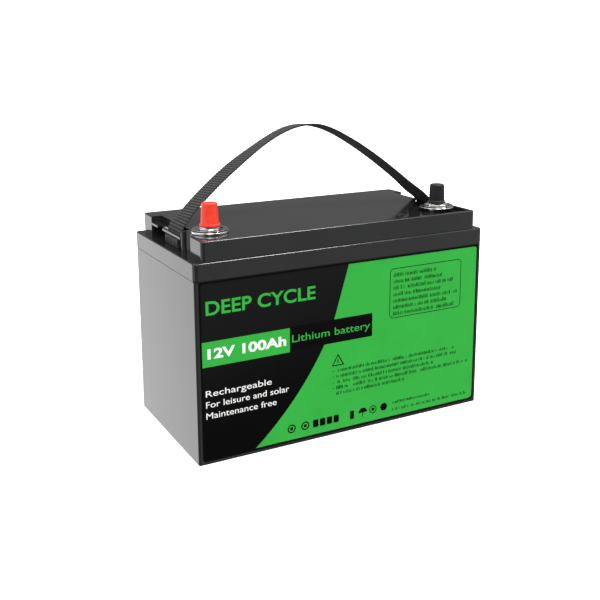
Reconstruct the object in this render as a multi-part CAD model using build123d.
"""Deep cycle battery: a lithium 12 V leisure battery in a moulded case with a webbing carry handle.

Millimetres. The origin is the centre of the underside, +X runs along the case, -Y is the labelled
front, +Z is up. Each sub-part is one node and one STEP file in parts/.
"""
import os
from math import radians, tan

from build123d import *

# Case and lid
LENGTH, WIDTH = 330.0, 168.0              # outside of the lid's rim
RIM_BOTTOM, RIM_TOP, LID_TOP = 180.0, 197.5, 217.0
END_STEP, FRONT_STEP = 0.4, 1.5           # how far the case walls stand in from the rim
END_LEDGE, SIDE_LEDGE = 9.0, 2.5          # ledges round the lid's raised block
CORNER_R, CASE_CORNER_R = 4.0, 2.0
INSIDE_X, INSIDE_Y, CASE_FLOOR = 159.5, 78.5, 4.0
SKIRT_WALL, TONGUE_GAP, TONGUE_TOP = 3.4, 0.2, 194.0
PLATE = 3.0                               # thickness of the lid's top

CASE_X, CASE_Y = LENGTH / 2 - END_STEP, WIDTH / 2 - FRONT_STEP
BLOCK_X, BLOCK_Y = LENGTH / 2 - END_LEDGE, WIDTH / 2 - SIDE_LEDGE

# Handle seats in the lid's ends
SEAT_Y0, SEAT_Y1 = -26.0, 56.0
SEAT_DEPTH, SEAT_POCKET_DEPTH = 14.0, 11.0
BRIDGE_LOW, BRIDGE_HIGH = 208.5, 210.5
SLOT_X0, SLOT_X1 = 149.7, 153.3           # the slot through the bridge, from the middle outwards
SLOT_Y0, SLOT_Y1 = -19.5, 38.0
GAP_Y0 = 23.0                             # the webbing is threaded in sideways through this gap
NOTCH_Y, NOTCH_R, NOTCH_IN = -43.2, 12.5, 6.8   # a round upright groove beside the seat
PILLAR_R = 3.3                            # the round wall between the groove and the seat

# Terminals
TERMINAL_Y = -45.0
POSITIVE_X, NEGATIVE_X = -132.5, 132.5
SUNK_SEAT = 216.0                         # the negative terminal stands on a boss in the sunk corner
WELL_FLOOR = 213.0                        # sunk floor around the negative terminal
INSERT_R, INSERT_FLANGE_R, INSERT_LOW = 7.5, 9.5, 194.0
STUD_R, STUD_FIT = 4.0, 0.05
GASKET_R, GASKET_H = 12.0, 0.5
WASHER_R, WASHER_H = 18.3, 2.0
HEX_FLATS, HEX_H = 17.5, 2.2
LIP_R, LIP_H = 10.2, 1.4
POST_H, CAP_GAP = 17.0, 0.3
CAP_WALL, CAP_BEAD_H = 1.2, 2.4

# Carry handle
WEB_WIDTH, WEB_THICK = 35.0, 2.0
WEB_X = (SLOT_X0 + SLOT_X1) / 2
TAIL_LOW, TAIL_HIGH = 199.2, 228.0
ARCH_LEAN = 5.0                           # degrees, towards the back
ARCH_SHOULDER = (78.0, 281.0)
ARCH_PEAK = 318.0                         # where the two top runs would meet
ARCH_START = 25.0                         # height of the arch's ends above the lid
CLIP_LOW, CLIP_HIGH = 197.9, 206.3
CLIP_X0, CLIP_X1 = 147.2, 155.6
CLIP_HALF, CLIP_RIDGES = 17.6, 9

# Cells
CELL_T, CELL_W, CELL_H = 53.0, 150.0, 118.0
CELL_LOW, CELL_PITCH = 10.0, 54.0
CELL_X = [CELL_PITCH * (i - 1.5) for i in range(4)]
CELL_TOP = CELL_LOW + CELL_H
POLE_Y, POLE_R, POLE_H = 45.0, 9.0, 2.0
CELL_STUD_R, CELL_STUD_TOP = 3.0, 142.0
BAR_W, BAR_H, LUG_H = 20.0, 2.0, 2.0
BAR_LOW = CELL_TOP + POLE_H
NUT_FLATS, NUT_H = 10.0, 5.0
END_PLATE_T, BAND_T, BAND_W = 3.0, 0.6, 16.0

# Battery management board
TRAY_LOW, TRAY_H, TRAY_X, TRAY_Y = 146.0, 3.0, 100.0, 66.0
BOARD_LOW, BOARD_H, BOARD_X, BOARD_Y = 156.0, 1.6, 75.0, 48.0
BOARD_TOP = BOARD_LOW + BOARD_H
CHIP_H, SINK_H, FIN_COUNT = 4.4, 12.0, 9
POWER_TAB_H = 6.0
TAB_IN_Y, TAB_OUT_Y = -26.0, -8.0          # where the cell cable and the post cable are soldered
CABLE_R, SENSE_R = 4.2, 0.8
BARREL_R = 5.2


def box(x0, x1, y0, y1, z0, z1):
    """A block between two corners."""
    return Pos((x0 + x1) / 2, (y0 + y1) / 2, (z0 + z1) / 2) * Box(x1 - x0, y1 - y0, z1 - z0)


def rod(x, y, z0, z1, r):
    """An upright cylinder."""
    return Pos(x, y, (z0 + z1) / 2) * Cylinder(r, z1 - z0)


def taper(x, y, z0, z1, r0, r1):
    """An upright cone frustum, r0 at the bottom."""
    return Pos(x, y, (z0 + z1) / 2) * Cone(r0, r1, z1 - z0)


def hexagon(x, y, z0, z1, flats):
    """An upright hexagonal prism."""
    return extrude(Pos(x, y, z0) * RegularPolygon(flats / 2, 6, major_radius=False), z1 - z0)


def rounded(half_x, half_y, z0, z1, r):
    """A block centred on the Z axis with round upright corners."""
    return extrude(Pos(0, 0, z0) * RectangleRounded(2 * half_x, 2 * half_y, r), z1 - z0)


def rim_edges(part, z):
    """The outline edges of a block at one height."""
    return part.edges().filter_by_position(Axis.Z, z - 0.01, z + 0.01)


def both_ends(cut):
    """A lid feature at the left end, and its mirror image at the right end."""
    return [cut, mirror(cut, about=Plane.YZ)]


def route(points):
    """A cable's centre line: straight runs joined by the largest arcs that the runs allow."""
    spots = [Vector(*p) for p in points]
    radii = []
    for before, here, after in zip(spots, spots[1:], spots[2:]):
        arriving, leaving = here - before, after - here
        turn = radians(arriving.get_angle(leaving))
        radii.append(0.45 * min(arriving.length, leaving.length) / tan(turn / 2))
    return FilletPolyline(*spots, radius=radii), radii


def cable(points, r):
    """A round cable along a route."""
    path, radii = route(points)
    print("cable radius", r, "bends", [round(v, 1) for v in radii], "length", round(path.length, 1))
    return sweep(Plane(origin=path @ 0, z_dir=path % 0) * Circle(r), path=path)


def make_case():
    shell = rounded(CASE_X, CASE_Y, 0, RIM_BOTTOM, CASE_CORNER_R)
    shell = fillet(rim_edges(shell, 0), 1.5)
    tongue_x = LENGTH / 2 - SKIRT_WALL - TONGUE_GAP
    tongue_y = WIDTH / 2 - SKIRT_WALL - TONGUE_GAP
    shell += rounded(tongue_x, tongue_y, RIM_BOTTOM, TONGUE_TOP, CORNER_R)
    shell -= rounded(INSIDE_X, INSIDE_Y, CASE_FLOOR, TONGUE_TOP, CASE_CORNER_R)
    return shell


def handle_seat_cuts():
    """What is cut from the lid's ends to seat the handle clips; only the left end has the groove."""
    end = -BLOCK_X
    pocket = box(end - 1, end + SEAT_POCKET_DEPTH, SEAT_Y0, SEAT_Y1, BRIDGE_HIGH, LID_TOP + 1)
    chamber = box(end - 1, end + SEAT_DEPTH, SEAT_Y0, SEAT_Y1, RIM_TOP, BRIDGE_LOW)
    slot = box(-SLOT_X1, -SLOT_X0, SLOT_Y0, SLOT_Y1, BRIDGE_LOW - 1, BRIDGE_HIGH + 1)
    gap = box(end - 1, -SLOT_X1 + 0.5, GAP_Y0, SLOT_Y1, BRIDGE_LOW - 1, BRIDGE_HIGH + 1)
    groove = rod(end - NOTCH_IN, NOTCH_Y, RIM_TOP, LID_TOP + 1, NOTCH_R)
    beside = box(end - 1, end + PILLAR_R, SEAT_Y0 - 10, SEAT_Y0, RIM_TOP, LID_TOP + 1)
    beside -= rod(end + PILLAR_R, SEAT_Y0 - PILLAR_R, RIM_TOP, LID_TOP + 1, PILLAR_R)
    return [both_ends(cut) for cut in (pocket, chamber, slot, gap)] + [[groove, beside]]


def well_cut():
    """The sunk corner round the negative terminal, bounded by a wide arc on the inner side."""
    front, side = -BLOCK_Y + 3.5, BLOCK_X - 4.5
    inner, top = BLOCK_X - SEAT_POCKET_DEPTH + 1, SEAT_Y0 + 1
    start, middle, end = (44.0, front), (110.0, -30.0), (inner, 12.0)
    edge = Polyline(start, (side, front), (side, top), (inner, top), end)
    edge += ThreePointArc(end, middle, start)
    return extrude(Pos(0, 0, WELL_FLOOR) * make_face(edge.edges()), LID_TOP - WELL_FLOOR + 1)


def make_lid():
    skirt = rounded(LENGTH / 2, WIDTH / 2, RIM_BOTTOM, RIM_TOP, CORNER_R + 1)
    skirt = fillet(rim_edges(skirt, RIM_TOP), 1.2)
    skirt = fillet(rim_edges(skirt, RIM_BOTTOM), 1.4)
    block = rounded(BLOCK_X, BLOCK_Y, RIM_TOP - 5, LID_TOP, CORNER_R)
    block = fillet(rim_edges(block, LID_TOP), 1.3)
    lid = skirt + block
    lid -= rounded(LENGTH / 2 - SKIRT_WALL, WIDTH / 2 - SKIRT_WALL, RIM_BOTTOM - 1, RIM_TOP - PLATE, CORNER_R)
    inner_x, inner_y, thin_from = BLOCK_X - SEAT_DEPTH - PLATE, BLOCK_Y - PLATE, 40.0
    lid -= box(-inner_x, thin_from, -inner_y, inner_y, RIM_TOP - PLATE - 1, LID_TOP - PLATE)
    lid -= box(thin_from, inner_x, -inner_y, inner_y, RIM_TOP - PLATE - 1, WELL_FLOOR - PLATE)
    for feature in handle_seat_cuts():
        for cut in feature:
            lid -= cut
    lid -= well_cut()
    for x in (POSITIVE_X, NEGATIVE_X):
        lid += rod(x, TERMINAL_Y, INSERT_LOW, seat(x), 13.0)
    for x in (POSITIVE_X, NEGATIVE_X):
        lid -= insert_blank(x)
    return lid


def seat(x):
    """The height that the terminal at x stands on."""
    return LID_TOP if x == POSITIVE_X else SUNK_SEAT


def insert_blank(x):
    """Outside of a moulded-in terminal insert, a bush with a flange in the lid."""
    blank = rod(x, TERMINAL_Y, INSERT_LOW, seat(x), INSERT_R)
    return blank + rod(x, TERMINAL_Y, seat(x) - 8, seat(x) - 5, INSERT_FLANGE_R)


def make_insert(x):
    stud_hole = rod(x, TERMINAL_Y, seat(x) - 10, seat(x), STUD_R + STUD_FIT)
    bolt_hole = rod(x, TERMINAL_Y, INSERT_LOW, INSERT_LOW + 7, CELL_STUD_R + STUD_FIT)
    return insert_blank(x) - stud_hole - bolt_hole


def ring(x, z0, z1, r_out, r_in):
    return rod(x, TERMINAL_Y, z0, z1, r_out) - rod(x, TERMINAL_Y, z0, z1, r_in)


def lip_top(x):
    """The height of the round lip that the cap stands on."""
    return seat(x) + GASKET_H + WASHER_H + HEX_H + LIP_H


def make_gasket(x):
    return ring(x, seat(x), seat(x) + GASKET_H, GASKET_R, STUD_R + STUD_FIT)


def make_washer(x):
    """A wide polished disc with a rolled edge that turns down a little."""
    low = seat(x) + GASKET_H
    disc = ring(x, low, low + WASHER_H, WASHER_R, STUD_R + STUD_FIT)
    disc -= ring(x, low, low + 0.7, WASHER_R - 1.2, GASKET_R + 1)
    return fillet(rim_edges(disc, low + WASHER_H).sort_by(SortBy.LENGTH)[-1], 0.8)


def make_post(x, r_base, r_top):
    """Threaded stud, hexagon, round lip and tapered post in one turned piece."""
    low, high = seat(x) + GASKET_H + WASHER_H, lip_top(x)
    post = rod(x, TERMINAL_Y, seat(x) - 9.5, low, STUD_R)
    post += hexagon(x, TERMINAL_Y, low, low + HEX_H, HEX_FLATS)
    post += rod(x, TERMINAL_Y, low + HEX_H, high, LIP_R)
    cone = taper(x, TERMINAL_Y, high, high + POST_H, r_base, r_top)
    return post + fillet(rim_edges(cone, high + POST_H), 0.8)


def make_cap(x, r_base, r_top, height):
    """A soft slip-on cap: closed top, tapered wall and a thicker bead at its mouth."""
    low = lip_top(x) + CAP_GAP
    cap = taper(x, TERMINAL_Y, low, low + height, r_base, r_top)
    cap = fillet(rim_edges(cap, low + height), 1.4)
    bead = rod(x, TERMINAL_Y, low, low + CAP_BEAD_H, r_base + 1.0)
    cap += fillet(bead.edges(), 0.9)
    inside = taper(x, TERMINAL_Y, low, low + height - 1.6, r_base - CAP_WALL, r_top - CAP_WALL)
    return cap - inside


def make_clip(side):
    """A ridged plastic block that holds the webbing's end under the bridge."""
    block = box(CLIP_X0, CLIP_X1 - 0.6, -CLIP_HALF, CLIP_HALF, CLIP_LOW, CLIP_HIGH)
    pitch = 2 * CLIP_HALF / CLIP_RIDGES
    for i in range(CLIP_RIDGES):
        y = -CLIP_HALF + (i + 0.5) * pitch
        block += box(CLIP_X1 - 0.7, CLIP_X1, y - pitch / 4, y + pitch / 4, CLIP_LOW + 0.8, CLIP_HIGH - 0.8)
    half = WEB_THICK / 2
    block -= box(WEB_X - half, WEB_X + half, -WEB_WIDTH / 2, WEB_WIDTH / 2, TAIL_LOW, CLIP_HIGH + 1)
    return block if side > 0 else mirror(block, about=Plane.YZ)


def make_tail(side):
    """The upright end of the webbing, from the clip up through the slot."""
    x = side * WEB_X
    half = WEB_THICK / 2
    return box(x - half, x + half, -WEB_WIDTH / 2, WEB_WIDTH / 2, TAIL_LOW, TAIL_HIGH)


def make_arch():
    """The webbing's free span, leaning a little towards the back."""
    shoulder_x, shoulder_z = ARCH_SHOULDER
    foot_z = LID_TOP + ARCH_START
    foot_x = WEB_X - (foot_z - TAIL_HIGH) * (WEB_X - shoulder_x) / (shoulder_z - TAIL_HIGH)
    spots = [(-foot_x, 0, foot_z), (-shoulder_x, 0, shoulder_z), (0, 0, ARCH_PEAK)]
    spots += [(shoulder_x, 0, shoulder_z), (foot_x, 0, foot_z)]
    path, _ = route(spots)
    section = Plane(origin=path @ 0, z_dir=path % 0, x_dir=(0, 1, 0)) * Rectangle(WEB_WIDTH, WEB_THICK)
    return sweep(section, path=path).rotate(Axis((0, 0, LID_TOP), (1, 0, 0)), -ARCH_LEAN)


def make_label():
    """A printed film over the whole front wall, with round lower corners."""
    margin, low, film = 4.0, 3.4, 0.3
    half, high = CASE_X - margin, RIM_BOTTOM - 0.4
    sheet = box(-half, half, -CASE_Y - film, -CASE_Y, low, high)
    lower = sheet.edges().filter_by(Axis.Y).group_by(Axis.Z)[0]
    return fillet(lower, 3.0)


def make_cell(x):
    half = CELL_T / 2
    can = fillet(box(x - half, x + half, -CELL_W / 2, CELL_W / 2, CELL_LOW, CELL_TOP).edges(), 1.5)
    for y in (-POLE_Y, POLE_Y):
        can += rod(x, y, CELL_TOP - 1, BAR_LOW, POLE_R)
        can += rod(x, y, BAR_LOW, CELL_STUD_TOP, CELL_STUD_R)
    return can


def make_separators():
    gap = (CELL_PITCH - CELL_T) / 2
    sheets = [box(x - gap, x + gap, -CELL_W / 2, CELL_W / 2, CELL_LOW, CELL_TOP - 2)
              for x in (-CELL_PITCH, 0, CELL_PITCH)]
    return Compound(children=sheets)


STACK_X = CELL_X[-1] + CELL_T / 2
PLATE_X = STACK_X + END_PLATE_T


def make_end_plates():
    plates = [box(x, x + END_PLATE_T, -CELL_W / 2, CELL_W / 2, CELL_LOW, CELL_TOP - 2)
              for x in (-PLATE_X, STACK_X)]
    return Compound(children=plates)


def make_bands():
    """Two steel bands that hold the stack of cells together."""
    bands = []
    for z in (38.0, 98.0):
        outside = rounded(PLATE_X + BAND_T, CELL_W / 2 + BAND_T, z - BAND_W / 2, z + BAND_W / 2, 1.0)
        bands.append(outside - box(-PLATE_X, PLATE_X, -CELL_W / 2, CELL_W / 2, z - BAND_W, z + BAND_W))
    return Compound(children=bands)


def make_end_foam(side):
    inner, outer = PLATE_X + BAND_T + 0.4, INSIDE_X - 0.3
    x0, x1 = sorted((side * inner, side * outer))
    return box(x0, x1, 2 - INSIDE_Y, INSIDE_Y - 2, CELL_LOW, 120.0)


def make_bottom_foam():
    half_x, half_y = INSIDE_X - 2, INSIDE_Y - 2
    return box(-half_x, half_x, -half_y, half_y, CASE_FLOOR, CELL_LOW)


def make_top_foam():
    low = BOARD_TOP + CHIP_H + SINK_H + 0.5
    return box(-TRAY_X + 5, TRAY_X - 5, -TRAY_Y - 8, TRAY_Y + 8, low, WELL_FLOOR - PLATE)


def make_busbar(i):
    """The copper bar from cell i to the next; the bars change sides down the stack."""
    y = POLE_Y if i % 2 == 0 else -POLE_Y
    x0, x1 = CELL_X[i], CELL_X[i + 1]
    bar = box(x0 - 11, x1 + 11, y - BAR_W / 2, y + BAR_W / 2, BAR_LOW, BAR_LOW + BAR_H)
    for x in (x0, x1):
        bar -= rod(x, y, BAR_LOW - 1, BAR_LOW + BAR_H + 1, CELL_STUD_R + 0.1)
    return bar


def make_cell_nuts():
    nuts = []
    low = BAR_LOW + BAR_H
    for x in CELL_X:
        for y in (-POLE_Y, POLE_Y):
            hole = rod(x, y, low, low + NUT_H, CELL_STUD_R)
            nuts.append(hexagon(x, y, low, low + NUT_H, NUT_FLATS) - hole)
    return Compound(children=nuts)


def cell_lug(x, side):
    """A crimp lug on a cell's stud, with its barrel pointing along X."""
    z = BAR_LOW + LUG_H / 2
    lug = rod(x, -POLE_Y, BAR_LOW, BAR_LOW + LUG_H, 8.0)
    x0, x1 = sorted((x, x + side * 14.0))
    lug += box(x0, x1, -POLE_Y - 5, -POLE_Y + 5, BAR_LOW, BAR_LOW + LUG_H)
    barrel = Pos(x + side * 15.0, -POLE_Y, z + BARREL_R - 1) * Rot(0, 90, 0) * Cylinder(BARREL_R, 8.0)
    return lug + barrel - rod(x, -POLE_Y, BAR_LOW - 1, BAR_LOW + 3, CELL_STUD_R + 0.1)


LUG_DROP, LUG_REACH = 17.0, 14.0


def post_lug(x):
    """A bent lug bolted under a terminal insert, with its barrel pointing down."""
    lug = rod(x, TERMINAL_Y, INSERT_LOW - LUG_H, INSERT_LOW, 8.0)
    y = TERMINAL_Y + LUG_REACH
    lug += box(x - 5, x + 5, TERMINAL_Y, y + 3, INSERT_LOW - LUG_H, INSERT_LOW)
    lug += rod(x, y, INSERT_LOW - LUG_DROP, INSERT_LOW - 1, BARREL_R)
    return lug - rod(x, TERMINAL_Y, INSERT_LOW - 3, INSERT_LOW + 1, CELL_STUD_R + 0.1)


def make_cable_lugs():
    lugs = [cell_lug(CELL_X[0], -1), cell_lug(CELL_X[-1], 1), post_lug(POSITIVE_X), post_lug(NEGATIVE_X)]
    return Compound(children=lugs)


def make_terminal_bolts():
    """The two bolts that hold the cable lugs up against the inserts."""
    bolts = []
    for x in (POSITIVE_X, NEGATIVE_X):
        head = INSERT_LOW - LUG_H
        bolt = hexagon(x, TERMINAL_Y, head - 4, head, NUT_FLATS)
        bolts.append(bolt + rod(x, TERMINAL_Y, head, INSERT_LOW + 6, CELL_STUD_R))
    return Compound(children=bolts)


CELL_CABLE_Z = BAR_LOW + LUG_H / 2 + BARREL_R - 1
BOARD_CABLE_Z = BOARD_TOP + POWER_TAB_H / 2
POST_CABLE_Y = TERMINAL_Y + LUG_REACH
POST_CABLE_Z = INSERT_LOW - LUG_DROP


def make_positive_cable():
    start = CELL_X[0] - 19.0
    spots = [(start, -POLE_Y, CELL_CABLE_Z), (start - 16, -POLE_Y, CELL_CABLE_Z)]
    spots += [(POSITIVE_X + 2, POST_CABLE_Y - 12, 152), (POSITIVE_X, POST_CABLE_Y, POST_CABLE_Z - 14)]
    spots += [(POSITIVE_X, POST_CABLE_Y, POST_CABLE_Z)]
    return cable(spots, CABLE_R)


def make_board_cable():
    start = CELL_X[-1] + 19.0
    spots = [(start, -POLE_Y, CELL_CABLE_Z), (start + 17, -POLE_Y, CELL_CABLE_Z)]
    spots += [(start + 21, -POLE_Y + 10, BOARD_CABLE_Z - 3), (start + 2, TAB_IN_Y, BOARD_CABLE_Z)]
    spots += [(BOARD_X + 5, TAB_IN_Y, BOARD_CABLE_Z)]
    return cable(spots, CABLE_R)


def make_negative_cable():
    spots = [(BOARD_X + 5, TAB_OUT_Y, BOARD_CABLE_Z), (BOARD_X + 25, TAB_OUT_Y, BOARD_CABLE_Z)]
    spots += [(NEGATIVE_X - 9, TAB_OUT_Y - 8, BOARD_CABLE_Z + 1), (NEGATIVE_X, POST_CABLE_Y, POST_CABLE_Z - 8)]
    spots += [(NEGATIVE_X, POST_CABLE_Y, POST_CABLE_Z)]
    return cable(spots, CABLE_R)


def make_tray():
    """The plate that carries the board above the cells, on four legs."""
    tray = box(-TRAY_X, TRAY_X, -TRAY_Y, TRAY_Y, TRAY_LOW, TRAY_LOW + TRAY_H)
    for x in (-90, 90):
        for y in (-62, 62):
            tray += rod(x, y, CELL_TOP, TRAY_LOW + 1, 3.5)
    for x, y in board_corners():
        tray += rod(x, y, TRAY_LOW + TRAY_H, BOARD_LOW, 3.5)
        tray -= rod(x, y, BOARD_LOW - 6, BOARD_LOW, 1.5)
    return tray


def board_corners():
    return [(x, y) for x in (-68, 68) for y in (-42, 42)]


def make_board():
    board = box(-BOARD_X, BOARD_X, -BOARD_Y, BOARD_Y, BOARD_LOW, BOARD_TOP)
    for x, y in board_corners():
        board -= rod(x, y, BOARD_LOW - 1, BOARD_TOP + 1, 1.7)
    return board


def make_power_tabs():
    """Two copper blocks on the board that the main cables are soldered into."""
    tabs = [box(BOARD_X - 13, BOARD_X + 5, y - 6, y + 6, BOARD_TOP, BOARD_TOP + POWER_TAB_H)
            for y in (TAB_IN_Y, TAB_OUT_Y)]
    return Compound(children=tabs)


def make_transistors():
    chips = []
    for row_y in (-30, 30):
        for i in range(8):
            x = -50 + i * 13
            chips.append(box(x - 5, x + 5, row_y - 4.5, row_y + 4.5, BOARD_TOP, BOARD_TOP + CHIP_H))
    return Compound(children=chips)


def make_heat_sink():
    low = BOARD_TOP + CHIP_H
    sink = box(-60, 50, -38, 38, low, low + 4)
    step = 76.0 / FIN_COUNT
    for i in range(FIN_COUNT):
        y = -38 + (i + 0.5) * step
        sink += box(-60, 50, y - 1.2, y + 1.2, low + 3, low + SINK_H)
    return sink


def make_board_screws():
    screws = [rod(x, y, BOARD_LOW - 5, BOARD_TOP, 1.45) + rod(x, y, BOARD_TOP, BOARD_TOP + 2, 2.8)
              for x, y in board_corners()]
    return Compound(children=screws)


SENSE_Y = [-9.0, -5.0, -1.0, 3.0, 7.0]


def make_balance_plug():
    return box(-BOARD_X, -BOARD_X + 7, -12, 12, BOARD_TOP, BOARD_TOP + 7)


def make_sense_leads():
    """Five thin leads from the plug, round the tray and between it and the cells."""
    z_plug, z_low = BOARD_TOP + 3.5, (CELL_STUD_TOP + TRAY_LOW) / 2
    ends = [CELL_X[0], CELL_X[0] + 27, CELL_X[1] + 27, CELL_X[2] + 27, CELL_X[3]]
    leads = []
    for y, x_end in zip(SENSE_Y, ends):
        spots = [(-BOARD_X, y, z_plug), (-BOARD_X - 16, y, z_plug), (-TRAY_X - 5, y, z_plug - 8)]
        spots += [(-TRAY_X - 4, y, z_low), (-TRAY_X + 10, y, z_low), (x_end, y * 1.4, z_low)]
        leads.append(cable(spots, SENSE_R))
    return Compound(children=leads)


def make_temperature_probe():
    return fillet(box(-4, 4, 10, 20, CELL_TOP, CELL_TOP + 3).edges().group_by(Axis.Z)[-1], 1.0)


CAPS = {"positive": (POSITIVE_X, 8.9, 7.6, 22.2), "negative": (NEGATIVE_X, 8.1, 7.5, 20.0)}
POSTS = {"positive": (POSITIVE_X, 7.2, 6.2), "negative": (NEGATIVE_X, 6.5, 5.9)}


def make_all():
    nodes = {"container": make_case(), "lid": make_lid(), "front_label": make_label()}
    for name, (x, r_base, r_top) in POSTS.items():
        nodes[name + "_insert"] = make_insert(x)
        nodes[name + "_gasket"] = make_gasket(x)
        nodes[name + "_washer"] = make_washer(x)
        nodes[name + "_post"] = make_post(x, r_base, r_top)
    for name, sizes in CAPS.items():
        nodes[name + "_cap"] = make_cap(*sizes)
    for name, side in (("left", -1), ("right", 1)):
        nodes["strap_clip_" + name] = make_clip(side)
        nodes["strap_tail_" + name] = make_tail(side)
        nodes["end_foam_" + name] = make_end_foam(side)
    nodes["strap_arch"] = make_arch()
    for i, x in enumerate(CELL_X):
        nodes[f"cell_{i + 1}"] = make_cell(x)
    for i in range(3):
        nodes[f"busbar_{i + 1}"] = make_busbar(i)
    nodes["cell_separators"] = make_separators()
    nodes["end_plates"] = make_end_plates()
    nodes["compression_bands"] = make_bands()
    nodes["bottom_foam"] = make_bottom_foam()
    nodes["top_foam"] = make_top_foam()
    nodes["cell_nuts"] = make_cell_nuts()
    nodes["cable_lugs"] = make_cable_lugs()
    nodes["terminal_bolts"] = make_terminal_bolts()
    nodes["positive_cable"] = make_positive_cable()
    nodes["board_cable"] = make_board_cable()
    nodes["negative_cable"] = make_negative_cable()
    nodes["board_tray"] = make_tray()
    nodes["management_board"] = make_board()
    nodes["power_tabs"] = make_power_tabs()
    nodes["board_transistors"] = make_transistors()
    nodes["heat_sink"] = make_heat_sink()
    nodes["board_screws"] = make_board_screws()
    nodes["balance_plug"] = make_balance_plug()
    nodes["sense_leads"] = make_sense_leads()
    nodes["temperature_probe"] = make_temperature_probe()
    return nodes


os.makedirs("parts", exist_ok=True)
for node, shape in make_all().items():
    export_step(shape, f"parts/{node}.step")
    print(node, round(shape.volume))
